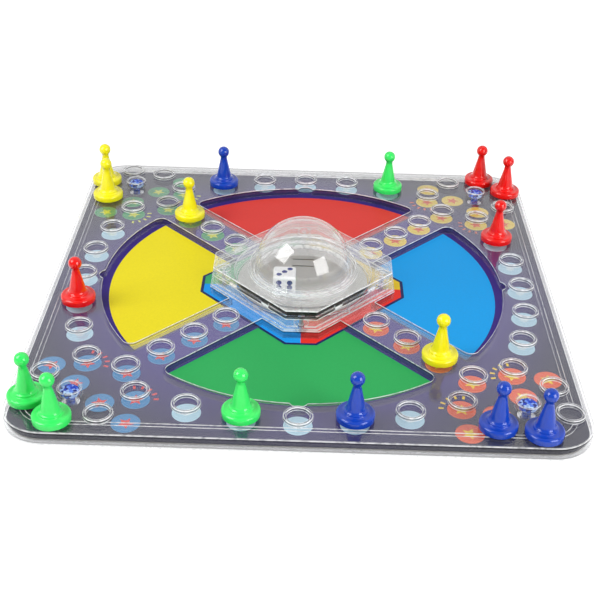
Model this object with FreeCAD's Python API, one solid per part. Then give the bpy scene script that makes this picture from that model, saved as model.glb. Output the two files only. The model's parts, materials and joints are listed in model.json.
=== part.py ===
import FreeCAD, Part
import math
import os

# A pop up dice board game: a clear cover over a printed card on a clear tray, with a dice popper
# in its middle and sixteen pawns that cap the ring cups. Millimetres, +Z up. The origin is the
# middle of the underside.

# Board
board_side = 266.7
board_corner_radius = 20.0
tray_floor = 1.2
tray_foot_drop = 0.8
tray_foot_width = 3.0
card_thickness = 0.5
card_edge_gap = 0.3
print_to_deck = 4.6
deck_thickness = 1.2
cover_wall = 1.2
cover_edge_round = 0.8
well_wall = 1.2
well_card_gap = 0.1

# Groove that runs round the deck
groove_half_side = 125.5
groove_width = 2.0
groove_depth = 0.45
groove_corner_radius = 15.0

# Coloured wells: each lies between two lanes of cups, inside an arc and outside the middle octagon
well_arc_radius = 107.0
well_corner_radius = 4.5
lane_half_width = 12.8
hub_long_apothem = 41.0
hub_short_apothem = 48.9
notch_radius = 4.7
notch_depth = 2.5

# Ring cups
cup_outer_radius = 6.8
cup_wall = 1.4
cup_height = 1.8
cup_edge_round = 0.45
cup_root = 0.8
track_arc_radius = 195.0
track_apex = 117.6
track_step_deg = 7.57
lane_first = 38.3
lane_step = 14.74
lane_cups = 4
home_arc_centre = 103.0
home_arc_radius = 21.5
home_step_deg = 56.3
home_cups = 4

# Corner sockets and rivets
socket_centre = 104.8
socket_outer_radius = 5.8
socket_wall = 1.0
socket_height = 3.6
rivet_head_gap = 0.3
rivet_head_height = 2.6
rivet_head_round = 1.0
rivet_shank_radius = 2.1
rivet_shank_gap = 0.2
rivet_tip_radius = 2.8
rivet_tip_height = 0.6
rivet_slot_width = 0.8
boss_wall = 1.5
boss_card_gap = 0.4

# Dice housing
housing_long_apothem = 39.0
housing_short_apothem = 47.3
housing_wall = 1.6
housing_foot_width = 1.2
housing_foot_height = 1.0
housing_base_height = 7.6
shadow_gap = 1.5
shadow_depth = 0.8
frame_plate = 1.8
frame_edge_round = 0.6
tab_width = 5.0
tab_spread = 12.4
tab_reach = 1.8
tab_gap = 0.2
tab_inset = 0.1
screw_circle = 42.3
screw_boss_radius = 3.8
screw_shank_radius = 1.1
screw_shank_gap = 0.3
screw_length = 10.5
screw_head_radius = 2.2
screw_head_height = 0.9
screw_head_recess = 0.2
screw_slot_width = 0.6
screw_slot_depth = 0.5

# Popper
dome_radius = 26.0
dome_wall = 1.4
dome_sink = 1.6
dome_opening_gap = 2.0
collar_height = 2.4
collar_wall = 1.2
flange_thickness = 1.4
flange_top_gap = 0.2
flange_side_gap = 0.6
flange_fillet = 1.0
press_travel = 3.0
skirt_plate_gap = 0.3
leg_circle = 32.0
leg_radius = 1.8
spigot_radius = 1.0
spigot_gap = 0.1
stake_radius = 1.7
stake_height = 0.5
plate_top = 7.2
plate_thickness = 0.5
plate_edge = 2.8
hub_opening_gap = 1.0
plate_slot_length = 11.0
plate_slot_width = 1.0
plate_slot_rows = (14.0, 21.0)
anvil_radius = 5.0
anvil_gap = 0.3

# Return springs
seat_radius = 3.2
seat_depth = 1.0
seat_floor = 0.8
seat_wall = 0.8
seat_peg_radius = 1.5
seat_peg_height = 1.2
spring_radius = 2.6
spring_wire_radius = 0.2
spring_turns = 4
spring_end_gap = 0.1

# Die
die_side = 12.0
die_x = -9.5
die_y = -12.2
die_round = 1.4
die_plate_gap = 0.02
pip_radius = 1.5
pip_depth = 0.35
pip_pitch = 2.8

# Pawns
pawn_height = 25.0
pawn_base_radius = 8.9
pawn_skirt_wall = 1.5
pawn_hollow_depth = 2.6
pawn_rim_height = 2.4
pawn_shoulder_round = 0.8
pawn_shoulder_radius = 5.9
pawn_shoulder_height = 3.7
pawn_step_radius = 5.5
pawn_step_height = 4.5
pawn_cone_radius = 4.2
pawn_cone_start = 7.2
pawn_neck_radius = 2.0
pawn_neck_height = 17.2
pawn_ball_radius = 3.4

# Heights and sizes that follow
tray_top = tray_foot_drop + tray_floor
card_top = tray_top + card_thickness
deck_top = card_top + print_to_deck
deck_bottom = deck_top - deck_thickness
board_half = board_side / 2
cavity_half = board_half - cover_wall
cavity_corner_radius = board_corner_radius - cover_wall
well_bottom = card_top + well_card_gap
boss_bottom = tray_top
base_top = deck_top + housing_base_height
frame_bottom = base_top + shadow_gap
frame_top = frame_bottom + frame_plate
collar_bottom = frame_bottom - collar_height
flange_top = collar_bottom - flange_top_gap
flange_bottom = flange_top - flange_thickness
flange_radius = housing_long_apothem - housing_wall - flange_side_gap
dome_opening_radius = dome_radius + dome_opening_gap
plate_bottom = plate_top - plate_thickness
skirt_bottom = plate_top + skirt_plate_gap
anvil_top = plate_bottom - press_travel - anvil_gap
plate_radius = leg_circle + plate_edge
hub_opening_radius = plate_radius + hub_opening_gap
seat_top = tray_top - seat_depth
rivet_head_radius = socket_outer_radius - socket_wall - rivet_head_gap
rivet_hole_radius = rivet_shank_radius + rivet_shank_gap
rivet_boss_radius = rivet_hole_radius + boss_wall
screw_hole_radius = screw_shank_radius + screw_shank_gap
screw_post_radius = screw_hole_radius + boss_wall
UP = FreeCAD.Vector(0, 0, 1)
QUARTERS = (0, 90, 180, 270)


def at(x, y, z=0.0):
    return FreeCAD.Vector(x, y, z)


def polar(radius, degrees, z=0.0):
    angle = math.radians(degrees)
    return at(radius * math.cos(angle), radius * math.sin(angle), z)


def turned(point, degrees):
    return polar(math.hypot(point.x, point.y), math.degrees(math.atan2(point.y, point.x)) + degrees, point.z)


def moved(shape, place):
    copy = shape.copy()
    copy.translate(place)
    return copy


def spun(shape, degrees):
    copy = shape.copy()
    copy.rotate(at(0, 0), UP, degrees)
    return copy


def disc(radius, bottom, top, place=None):
    centre = place or at(0, 0)
    return Part.makeCylinder(radius, top - bottom, at(centre.x, centre.y, bottom))


def tube(outer, inner, bottom, top, place=None):
    return disc(outer, bottom, top, place).cut(disc(inner, bottom, top, place))


def block(x_size, y_size, bottom, top, x_middle=0.0, y_middle=0.0):
    corner = at(x_middle - x_size / 2, y_middle - y_size / 2, bottom)
    return Part.makeBox(x_size, y_size, top - bottom, corner)


def prism(points, bottom, top):
    lifted = [at(p.x, p.y, bottom) for p in points]
    face = Part.Face(Part.makePolygon(lifted + [lifted[0]]))
    return face.extrude(at(0, 0, top - bottom))


def upright_edges(shape, test):
    """The straight vertical edges whose place in plan passes the test."""
    found = []
    for edge in shape.Edges:
        ends = [v.Point for v in edge.Vertexes]
        if len(ends) == 2 and math.hypot(ends[0].x - ends[1].x, ends[0].y - ends[1].y) < 1e-6:
            if test(ends[0]):
                found.append(edge)
    return found


def level_rings(shape, radius, z):
    """The round edges of one radius at one height."""
    found = []
    for edge in shape.Edges:
        if edge.Degenerated or edge.Curve.TypeId != "Part::GeomCircle":
            continue
        if abs(edge.Curve.Radius - radius) < 1e-6 and abs(edge.Curve.Center.z - z) < 1e-6:
            found.append(edge)
    return found


def rounded_square(half, radius, bottom, top):
    solid = block(2 * half, 2 * half, bottom, top)
    return solid.makeFillet(radius, upright_edges(solid, lambda p: True))


def octagon_points(long_apothem, short_apothem):
    """A square standing on a corner, its four corners cut off. Its long sides face the board's corners."""
    reach = long_apothem * math.sqrt(2) - short_apothem
    corner = [at(short_apothem, -reach), at(short_apothem, reach)]
    return [turned(p, q) for q in QUARTERS for p in corner]


def octagon(long_apothem, short_apothem, bottom, top):
    return prism(octagon_points(long_apothem, short_apothem), bottom, top)


def octagon_wall(long_apothem, short_apothem, wall, bottom, top):
    outside = octagon(long_apothem, short_apothem, bottom, top)
    return outside.cut(octagon(long_apothem - wall, short_apothem - wall, bottom, top))


def well_prism(grow, bottom, top):
    """The front well's outline, grown outward by one distance, as a solid."""
    lane = lane_half_width - grow
    arc = well_arc_radius + grow
    long_apothem = hub_long_apothem - grow
    short_apothem = hub_short_apothem - grow
    inner_reach = long_apothem * math.sqrt(2) - short_apothem
    lane_reach = math.sqrt(arc**2 - lane**2)
    diagonal = math.sqrt(0.5)
    inner = at(inner_reach, -short_apothem, bottom)
    shoulder = at((long_apothem - lane) * diagonal, -(long_apothem + lane) * diagonal, bottom)
    outer = at((lane_reach - lane) * diagonal, -(lane_reach + lane) * diagonal, bottom)
    right = [inner, shoulder, outer]
    left = [at(-p.x, p.y, bottom) for p in right]
    edges = [Part.makeLine(left[0], right[0])]
    for side in (right, left):
        edges.append(Part.makeLine(side[0], side[1]))
        edges.append(Part.makeLine(side[1], side[2]))
    edges.append(Part.Arc(right[2], at(0, -arc, bottom), left[2]).toShape())
    wire = Part.Wire(Part.__sortEdges__(edges))
    solid = Part.Face(wire).extrude(at(0, 0, top - bottom))
    corners = upright_edges(solid, lambda p: math.hypot(p.x, p.y) > arc - 1)
    solid = solid.makeFillet(well_corner_radius + grow, corners)
    notch_centre = well_arc_radius + notch_depth - notch_radius
    notch = disc(notch_radius + grow, bottom, top, at(0, -notch_centre))
    return solid.fuse(notch).removeSplitter()


def track_places():
    """Seven cups along each side's arc, from the middle outward."""
    places = []
    for step in range(-3, 4):
        angle = math.radians(step * track_step_deg)
        x = track_arc_radius * math.sin(angle)
        places.append(at(x, -track_apex + track_arc_radius * (1 - math.cos(angle))))
    return places


def lane_places():
    """Four cups along the diagonal towards the front right corner, from the middle outward."""
    spots = [lane_first + lane_step * n for n in range(lane_cups)]
    return [at(s, -s) for s in spots]


def home_places():
    """Four cups in an arc round the front right socket, from the front round to the right."""
    centre = at(home_arc_centre, -home_arc_centre)
    first = -45 - home_step_deg * (home_cups - 1) / 2
    return [centre + polar(home_arc_radius, first + home_step_deg * n) for n in range(home_cups)]


def cup_places():
    one_quarter = track_places() + lane_places() + home_places()
    return [turned(p, q) for q in QUARTERS for p in one_quarter]


def corner_places(distance):
    return [at(sx * distance, sy * distance) for sx in (-1, 1) for sy in (-1, 1)]


def leg_places():
    return [polar(leg_circle, 45 + q) for q in QUARTERS]


def screw_places():
    return [polar(screw_circle, q) for q in QUARTERS]


def make_tray():
    floor = rounded_square(board_half, board_corner_radius, 0, tray_top)
    inner_half = board_half - tray_foot_width
    relief = rounded_square(inner_half, board_corner_radius - tray_foot_width, 0, tray_foot_drop)
    tray = floor.cut(relief)
    posts = [disc(anvil_radius, tray_foot_drop, anvil_top)]
    posts += [disc(seat_radius + seat_wall, seat_top - seat_floor, tray_top, p) for p in leg_places()]
    posts += [disc(screw_post_radius, 0, tray_top, place) for place in screw_places()]
    tray = tray.fuse(posts)
    holes = [disc(rivet_hole_radius, 0, tray_top, place) for place in corner_places(socket_centre)]
    holes += [disc(seat_radius, seat_top, tray_top, place) for place in leg_places()]
    for place in screw_places():
        head_recess = screw_head_recess + screw_head_height
        holes.append(disc(screw_hole_radius, 0, tray_top, place))
        holes.append(disc(screw_head_radius + screw_shank_gap, 0, head_recess, place))
    tray = tray.cut(holes)
    seat_peg_top = seat_top + seat_peg_height
    pegs = [disc(seat_peg_radius, seat_top, seat_peg_top, place) for place in leg_places()]
    return tray.fuse(pegs).removeSplitter()


def make_card():
    half = cavity_half - card_edge_gap
    card = rounded_square(half, cavity_corner_radius - card_edge_gap, tray_top, card_top)
    holes = [disc(hub_opening_radius, tray_top, card_top)]
    for place in corner_places(socket_centre):
        holes.append(disc(rivet_boss_radius + boss_card_gap, tray_top, card_top, place))
    for place in screw_places():
        holes.append(disc(screw_post_radius + boss_card_gap, tray_top, card_top, place))
    return card.cut(holes)


def make_cup():
    outer = disc(cup_outer_radius, deck_top - cup_root, deck_top + cup_height)
    inner = disc(cup_outer_radius - cup_wall, deck_top, deck_top + cup_height)
    cup = outer.cut(inner)
    top = deck_top + cup_height
    edges = level_rings(cup, cup_outer_radius, top) + level_rings(cup, cup_outer_radius - cup_wall, top)
    return cup.makeFillet(cup_edge_round, edges)


def make_cover():
    block_out = rounded_square(board_half, board_corner_radius, tray_top, deck_top)
    rim = [e for e in block_out.Edges if all(abs(v.Point.z - deck_top) < 1e-6 for v in e.Vertexes)]
    block_out = block_out.makeFillet(cover_edge_round, rim)
    cavity = rounded_square(cavity_half, cavity_corner_radius, tray_top, deck_bottom)
    cover = block_out.cut(cavity)
    groove_outer = groove_half_side + groove_width / 2
    groove_inner = groove_half_side - groove_width / 2
    bottom = deck_top - groove_depth
    groove = rounded_square(groove_outer, groove_corner_radius + groove_width / 2, bottom, deck_top)
    kept = rounded_square(groove_inner, groove_corner_radius - groove_width / 2, bottom, deck_top)
    cover = cover.cut(groove.cut(kept))
    walls = [spun(well_prism(well_wall, well_bottom, deck_bottom), q) for q in QUARTERS]
    bosses = [disc(rivet_boss_radius, boss_bottom, deck_bottom, p) for p in corner_places(socket_centre)]
    bosses += [disc(screw_post_radius, boss_bottom, deck_bottom, p) for p in screw_places()]
    cover = cover.fuse(walls + bosses)
    cuts = [spun(well_prism(0, well_bottom, deck_top), q) for q in QUARTERS]
    cuts.append(disc(hub_opening_radius, tray_top, deck_top))
    cuts += [disc(rivet_hole_radius, boss_bottom, deck_top, p) for p in corner_places(socket_centre)]
    cuts += [disc(screw_hole_radius, boss_bottom, deck_top, p) for p in screw_places()]
    cover = cover.cut(cuts)
    socket = tube(
        socket_outer_radius, socket_outer_radius - socket_wall, deck_top - cup_root, deck_top + socket_height
    )
    top = deck_top + socket_height
    socket = socket.makeFillet(
        socket_wall / 3,
        level_rings(socket, socket_outer_radius, top)
        + level_rings(socket, socket_outer_radius - socket_wall, top),
    )
    added = [moved(socket, place) for place in corner_places(socket_centre)]
    cup = make_cup()
    added += [moved(cup, place) for place in cup_places()]
    return cover.fuse(added)


def make_rivets():
    rivets = []
    for place in corner_places(socket_centre):
        top = deck_top + rivet_head_height
        head = disc(rivet_head_radius, deck_top, top)
        head = head.makeFillet(rivet_head_round, level_rings(head, rivet_head_radius, top))
        shank = disc(rivet_shank_radius, 0, deck_top)
        tip_bottom = tray_foot_drop - rivet_tip_height
        tip = Part.makeCone(rivet_shank_radius, rivet_tip_radius, rivet_tip_height, at(0, 0, tip_bottom))
        slot = block(rivet_slot_width, 2 * rivet_tip_radius, 0, tray_top)
        low_cut = disc(rivet_tip_radius, 0, tip_bottom)
        rivet = head.fuse([shank, tip]).cut([slot, low_cut]).removeSplitter()
        rivets.append(moved(rivet, place))
    return Part.makeCompound(rivets)


def tab_places():
    """The middle of each snap tab, with the turn of the long side that it is on."""
    return [(45 + q, side * tab_spread) for q in QUARTERS for side in (-1, 1)]


def tab_block(degrees, along, depth, width, bottom, top, sink):
    outer = housing_long_apothem - sink
    bar = block(depth, width, bottom, top, outer - depth / 2, along)
    return spun(bar, degrees)


def make_housing_base():
    wall = octagon_wall(housing_long_apothem, housing_short_apothem, housing_wall, deck_top, base_top)
    foot = octagon_wall(
        housing_long_apothem + housing_foot_width,
        housing_short_apothem + housing_foot_width,
        housing_foot_width + housing_wall,
        deck_top,
        deck_top + housing_foot_height,
    )
    bosses = [disc(screw_boss_radius, deck_top, base_top, place) for place in screw_places()]
    base = wall.fuse([foot] + bosses)
    holes = [disc(screw_shank_radius, deck_top, base_top - housing_wall, place) for place in screw_places()]
    for degrees, along in tab_places():
        bottom = base_top - tab_reach - tab_gap
        width = tab_width + 2 * tab_gap
        depth = shadow_depth + tab_gap
        holes.append(tab_block(degrees, along, depth, width, bottom, base_top, 0))
    return base.cut(holes).removeSplitter()


def make_housing_frame():
    plate = octagon(housing_long_apothem, housing_short_apothem, frame_bottom, frame_top)
    rim = [e for e in plate.Edges if all(abs(v.Point.z - frame_top) < 1e-6 for v in e.Vertexes)]
    plate = plate.makeFillet(frame_edge_round, rim)
    lip = octagon_wall(
        housing_long_apothem - shadow_depth,
        housing_short_apothem - shadow_depth,
        housing_wall - shadow_depth,
        base_top,
        frame_bottom,
    )
    tabs = []
    for degrees, along in tab_places():
        bottom = base_top - tab_reach
        depth = shadow_depth - tab_inset
        tabs.append(tab_block(degrees, along, depth, tab_width, bottom, frame_bottom, tab_inset))
    collar = tube(dome_opening_radius + collar_wall, dome_opening_radius, collar_bottom, frame_bottom)
    frame = plate.fuse([lip, collar] + tabs)
    frame = frame.cut(disc(dome_opening_radius, frame_bottom, frame_top))
    frame = frame.removeSplitter()
    return frame.makeFillet(frame_edge_round, level_rings(frame, dome_opening_radius, frame_top))


def make_dome():
    inner = dome_radius - dome_wall
    centre = frame_top - dome_sink
    slant = math.sqrt(0.5)
    outer_arc = Part.Arc(
        at(0, 0, centre + dome_radius),
        at(dome_radius * slant, 0, centre + dome_radius * slant),
        at(dome_radius, 0, centre),
    )
    inner_arc = Part.Arc(
        at(inner, 0, centre), at(inner * slant, 0, centre + inner * slant), at(0, 0, centre + inner)
    )
    corners = [
        at(dome_radius, 0, centre),
        at(dome_radius, 0, flange_top),
        at(flange_radius, 0, flange_top),
        at(flange_radius, 0, flange_bottom),
        at(dome_radius, 0, flange_bottom),
        at(dome_radius, 0, skirt_bottom),
        at(inner, 0, skirt_bottom),
        at(inner, 0, centre),
    ]
    edges = [outer_arc.toShape()]
    edges += [Part.makeLine(a, b) for a, b in zip(corners, corners[1:])]
    edges.append(inner_arc.toShape())
    edges.append(Part.makeLine(at(0, 0, centre + inner), at(0, 0, centre + dome_radius)))
    dome = Part.Face(Part.Wire(edges)).revolve(at(0, 0), UP, 360)
    root = level_rings(dome, dome_radius, flange_top)
    dome = dome.makeFillet(flange_fillet, root)
    legs = []
    for place in leg_places():
        legs.append(disc(leg_radius, plate_top, flange_bottom, place))
        legs.append(disc(spigot_radius, plate_bottom, plate_top, place))
        legs.append(disc(stake_radius, plate_bottom - stake_height, plate_bottom, place))
    return dome.fuse(legs).removeSplitter()


def make_plate():
    plate = disc(plate_radius, plate_bottom, plate_top)
    cuts = [disc(spigot_radius + spigot_gap, plate_bottom, plate_top, place) for place in leg_places()]
    for row in plate_slot_rows:
        for side in (-1, 1):
            y = side * row
            slot = block(plate_slot_length, plate_slot_width, plate_bottom, plate_top, 0, y)
            ends = [
                disc(plate_slot_width / 2, plate_bottom, plate_top, at(end * plate_slot_length / 2, y))
                for end in (-1, 1)
            ]
            cuts.append(slot.fuse(ends))
    return plate.cut(cuts).removeSplitter()


def make_spring():
    """One coil as quarter turn arcs, from its seat in the tray up to the plate."""
    low = seat_top + spring_wire_radius + spring_end_gap
    high = plate_bottom - spring_wire_radius - spring_end_gap
    quarter_rise = (high - low) / (4 * spring_turns)

    def point(quarters):
        return polar(spring_radius, 90 * quarters, low + quarter_rise * quarters)

    arcs = [
        Part.Arc(point(n), point(n + 0.5), point(n + 1)).toShape() for n in range(4 * spring_turns)
    ]
    path = Part.Wire(arcs)
    direction = arcs[0].tangentAt(arcs[0].FirstParameter)
    section = Part.Wire(Part.makeCircle(spring_wire_radius, point(0), direction))
    return path.makePipeShell([section], True, False)


def make_springs():
    coil = make_spring()
    return Part.makeCompound([moved(coil, place) for place in leg_places()])


def make_screws():
    screws = []
    for place in screw_places():
        head_top = screw_head_recess + screw_head_height
        head = disc(screw_head_radius, screw_head_recess, head_top)
        slot_top = screw_head_recess + screw_slot_depth
        slot = block(screw_slot_width, 2 * screw_head_radius, screw_head_recess, slot_top)
        shank = disc(screw_shank_radius, screw_head_recess, screw_head_recess + screw_length)
        screws.append(moved(head.fuse(shank).cut(slot).removeSplitter(), place))
    return Part.makeCompound(screws)


def pip_spots(count):
    """Where a face's pips lie, across and up the face."""
    p = pip_pitch
    spots = {
        1: [(0, 0)],
        2: [(-p, -p), (p, p)],
        3: [(-p, -p), (0, 0), (p, p)],
        4: [(-p, -p), (p, p), (-p, p), (p, -p)],
        5: [(-p, -p), (p, p), (-p, p), (p, -p), (0, 0)],
        6: [(-p, -p), (p, p), (-p, p), (p, -p), (-p, 0), (p, 0)],
    }
    return spots[count]


def make_die():
    half = die_side / 2
    bottom = plate_top + die_plate_gap
    cube = block(die_side, die_side, -half, half)
    cube = cube.makeFillet(die_round, cube.Edges)
    ball_radius = (pip_radius**2 + pip_depth**2) / (2 * pip_depth)
    reach = half - pip_depth + ball_radius
    faces = {
        3: lambda a, b: at(a, b, reach),
        4: lambda a, b: at(a, b, -reach),
        6: lambda a, b: at(a, -reach, b),
        1: lambda a, b: at(a, reach, b),
        2: lambda a, b: at(reach, a, b),
        5: lambda a, b: at(-reach, a, b),
    }
    cups = []
    for count, spot in faces.items():
        cups += [Part.makeSphere(ball_radius, spot(a, b)) for a, b in pip_spots(count)]
    return moved(cube.cut(cups), at(die_x, die_y, bottom + half))


def make_pawn():
    """One pawn on the deck at the origin, turned about its own axis, hollow under its base."""
    inner = pawn_base_radius - pawn_skirt_wall
    ball_centre = pawn_height - pawn_ball_radius
    ball_foot = ball_centre - math.sqrt(pawn_ball_radius**2 - pawn_neck_radius**2)
    rim_top = pawn_rim_height + pawn_shoulder_round
    slant = math.sqrt(0.5)
    round_centre = at(pawn_base_radius - pawn_shoulder_round, 0, pawn_rim_height)
    round_middle = round_centre + at(slant, 0, slant) * pawn_shoulder_round
    cone_foot = at(pawn_cone_radius, 0, pawn_cone_start)
    step_top = at(pawn_step_radius, 0, pawn_step_height)
    sweep_middle = at(
        pawn_cone_radius + (pawn_step_radius - pawn_cone_radius) * 0.3,
        0,
        pawn_step_height + (pawn_cone_start - pawn_step_height) * 0.35,
    )
    edges = [
        Part.makeLine(at(inner, 0, 0), at(pawn_base_radius, 0, 0)),
        Part.makeLine(at(pawn_base_radius, 0, 0), at(pawn_base_radius, 0, pawn_rim_height)),
        Part.Arc(
            at(pawn_base_radius, 0, pawn_rim_height),
            round_middle,
            at(pawn_base_radius - pawn_shoulder_round, 0, rim_top),
        ).toShape(),
        Part.makeLine(
            at(pawn_base_radius - pawn_shoulder_round, 0, rim_top),
            at(pawn_shoulder_radius, 0, pawn_shoulder_height),
        ),
        Part.makeLine(at(pawn_shoulder_radius, 0, pawn_shoulder_height), step_top),
        Part.Arc(step_top, sweep_middle, cone_foot).toShape(),
        Part.makeLine(cone_foot, at(pawn_neck_radius, 0, pawn_neck_height)),
        Part.makeLine(at(pawn_neck_radius, 0, pawn_neck_height), at(pawn_neck_radius, 0, ball_foot)),
        Part.Arc(
            at(pawn_neck_radius, 0, ball_foot),
            at(pawn_ball_radius, 0, ball_centre),
            at(0, 0, pawn_height),
        ).toShape(),
        Part.makeLine(at(0, 0, pawn_height), at(0, 0, pawn_hollow_depth)),
        Part.makeLine(at(0, 0, pawn_hollow_depth), at(inner, 0, pawn_hollow_depth)),
        Part.makeLine(at(inner, 0, pawn_hollow_depth), at(inner, 0, 0)),
    ]
    return Part.Face(Part.Wire(edges)).revolve(at(0, 0), UP, 360)


def pawn_places():
    """Where each pawn stands, by name. Turns count quarters from the front side or front right corner."""
    track = track_places()
    lane = lane_places()
    home = home_places()
    return {
        "pawn_green_1": turned(home[2], -90),
        "pawn_green_2": turned(home[1], -90),
        "pawn_green_3": track[2],
        "pawn_green_4": turned(track[1], 180),
        "pawn_blue_1": home[0],
        "pawn_blue_2": home[1],
        "pawn_blue_3": track[4],
        "pawn_blue_4": turned(track[5], 180),
        "pawn_yellow_1": turned(home[2], 180),
        "pawn_yellow_2": turned(home[3], 180),
        "pawn_yellow_3": turned(lane[2], 180),
        "pawn_yellow_4": lane[2],
        "pawn_red_1": turned(home[1], 90),
        "pawn_red_2": turned(home[2], 90),
        "pawn_red_3": turned(track[5], 90),
        "pawn_red_4": turned(track[4], -90),
    }


def main():
    os.makedirs("parts", exist_ok=True)
    parts = {
        "base_tray": make_tray(),
        "printed_card": make_card(),
        "board_cover": make_cover(),
        "corner_rivets": make_rivets(),
        "housing_base": make_housing_base(),
        "housing_frame": make_housing_frame(),
        "popper_dome": make_dome(),
        "clicker_plate": make_plate(),
        "return_springs": make_springs(),
        "housing_screws": make_screws(),
        "die": make_die(),
    }
    pawn = make_pawn()
    for name, place in pawn_places().items():
        parts[name] = moved(pawn, at(place.x, place.y, deck_top))
    for name, shape in parts.items():
        print(name, "valid", shape.isValid(), "solids", len(shape.Solids), "volume", round(shape.Volume, 1))
        shape.exportStep(f"parts/{name}.step")


main()
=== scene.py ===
import json
import math

import bmesh
import bpy
from mathutils import Matrix, Vector

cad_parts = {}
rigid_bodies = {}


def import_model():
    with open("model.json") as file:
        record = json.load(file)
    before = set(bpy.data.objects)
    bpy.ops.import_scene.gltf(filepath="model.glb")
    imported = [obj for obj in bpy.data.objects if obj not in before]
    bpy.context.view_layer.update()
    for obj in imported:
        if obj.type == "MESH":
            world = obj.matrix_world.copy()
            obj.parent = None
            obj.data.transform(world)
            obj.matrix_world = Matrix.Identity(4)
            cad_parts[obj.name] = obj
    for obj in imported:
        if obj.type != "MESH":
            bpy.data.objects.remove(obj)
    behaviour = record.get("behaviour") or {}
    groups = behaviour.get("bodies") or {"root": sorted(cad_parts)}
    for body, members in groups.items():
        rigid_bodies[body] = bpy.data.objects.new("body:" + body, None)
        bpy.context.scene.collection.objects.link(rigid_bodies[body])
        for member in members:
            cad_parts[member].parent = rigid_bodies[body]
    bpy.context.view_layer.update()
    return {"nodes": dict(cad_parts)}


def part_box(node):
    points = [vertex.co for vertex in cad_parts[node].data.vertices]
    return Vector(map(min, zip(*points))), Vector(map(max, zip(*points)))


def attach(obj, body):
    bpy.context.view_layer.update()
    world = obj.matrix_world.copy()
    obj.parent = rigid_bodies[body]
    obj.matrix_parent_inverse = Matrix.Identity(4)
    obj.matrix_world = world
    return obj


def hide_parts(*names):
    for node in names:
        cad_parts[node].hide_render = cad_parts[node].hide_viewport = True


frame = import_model()
moulding = frame["nodes"]

# Tray
# The underside of the board: one shallow clear moulding under the whole card, on a rim 3 mm wide.
# Injection moulded in clear styrene, so it is glossy with a faint ripple from the way the melt flowed.

MM = 0.001


def feed(tree, node, sockets):
    """Sets sockets of a shader node, by name or number, each to a value or to the socket that feeds it."""
    for socket, value in sockets.items():
        if isinstance(value, bpy.types.NodeSocket):
            tree.links.new(value, node.inputs[socket])
        else:
            node.inputs[socket].default_value = value


def grow(tree, kind, sockets=None, **options):
    """Adds a shader node with its options and sockets set."""
    node = tree.nodes.new(kind)
    for option, value in options.items():
        setattr(node, option, value)
    feed(tree, node, sockets or {})
    return node


def maths(tree, operation, first, second=0.0, clamp=False):
    """The result of a Math node."""
    terms = {0: first, 1: second}
    return grow(tree, "ShaderNodeMath", terms, operation=operation, use_clamp=clamp).outputs[0]


def remap(tree, value, span, target=(0.0, 1.0), curve="LINEAR"):
    """A value carried over from one span to another."""
    ends = {"From Min": span[0], "From Max": span[1], "To Min": target[0], "To Max": target[1]}
    range_node = grow(tree, "ShaderNodeMapRange", {"Value": value, **ends}, interpolation_type=curve)
    return range_node.outputs["Result"]


def blend(tree, share, first, second):
    """Two colours mixed, each a socket or a plain (r, g, b)."""
    pair = [c if isinstance(c, bpy.types.NodeSocket) else (*c, 1) for c in (first, second)]
    return grow(tree, "ShaderNodeMix", {0: share, 6: pair[0], 7: pair[1]}, data_type="RGBA").outputs[2]


def noise(tree, where, scale, detail):
    """A noise texture's value."""
    sockets = {"Vector": where, "Scale": scale, "Detail": detail}
    return grow(tree, "ShaderNodeTexNoise", sockets).outputs["Fac"]


def bump(tree, strength, depth, height):
    """A normal roughened by a height; the depth is in metres."""
    sockets = {"Strength": strength, "Distance": depth, "Height": height}
    return grow(tree, "ShaderNodeBump", sockets).outputs["Normal"]


def new_finish(name):
    """A new material, its node tree and the place on the piece that its textures follow."""
    finish = bpy.data.materials.new(name)
    finish.use_nodes = True
    tree = finish.node_tree
    return finish, tree, grow(tree, "ShaderNodeTexCoord").outputs["Object"]


def colour_ramp(tree, share, stops):
    """Stops are (share, (r, g, b))."""
    ramp = grow(tree, "ShaderNodeValToRGB", {"Fac": share})
    elements = ramp.color_ramp.elements
    while len(elements) < len(stops):
        elements.new(0.5)
    for element, (position, tone) in zip(elements, stops):
        element.position = position
        element.color = (*tone, 1)
    return ramp.outputs["Color"]


def level_ramp(tree, height, stops):
    """Follows one value up the piece: stops are (height in mm, value)."""
    low, high = stops[0][0], stops[-1][0]
    share = remap(tree, height, (low * MM, high * MM))
    return colour_ramp(tree, share, [((level - low) / (high - low), [value] * 3) for level, value in stops])


PLASTIC_IOR = 1.5
EDGE_ROUND = 0.45
SHADE_FADE = 5.0
EVERYWHERE = 999.0
NO_SHADE = [(0, 0.0), (50, 0.0)]
# White of the painted highlights and the painted veil on the clear plastic.
CAUGHT_LIGHT = (0.97, 0.975, 0.98, 1)
PASSED_LIGHT = (0.97, 0.97, 0.975, 1)


def mirror_share(tree, normal, backfacing):
    """How much a clear sheet mirrors, by Fresnel, as seen from outside or from within."""
    inward = grow(tree, "ShaderNodeFresnel", {"IOR": PLASTIC_IOR, "Normal": normal}).outputs[0]
    outward = grow(tree, "ShaderNodeFresnel", {"IOR": 1 / PLASTIC_IOR, "Normal": normal}).outputs[0]
    return grow(tree, "ShaderNodeMix", {0: backfacing, 2: inward, 3: outward}).outputs[0]


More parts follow.
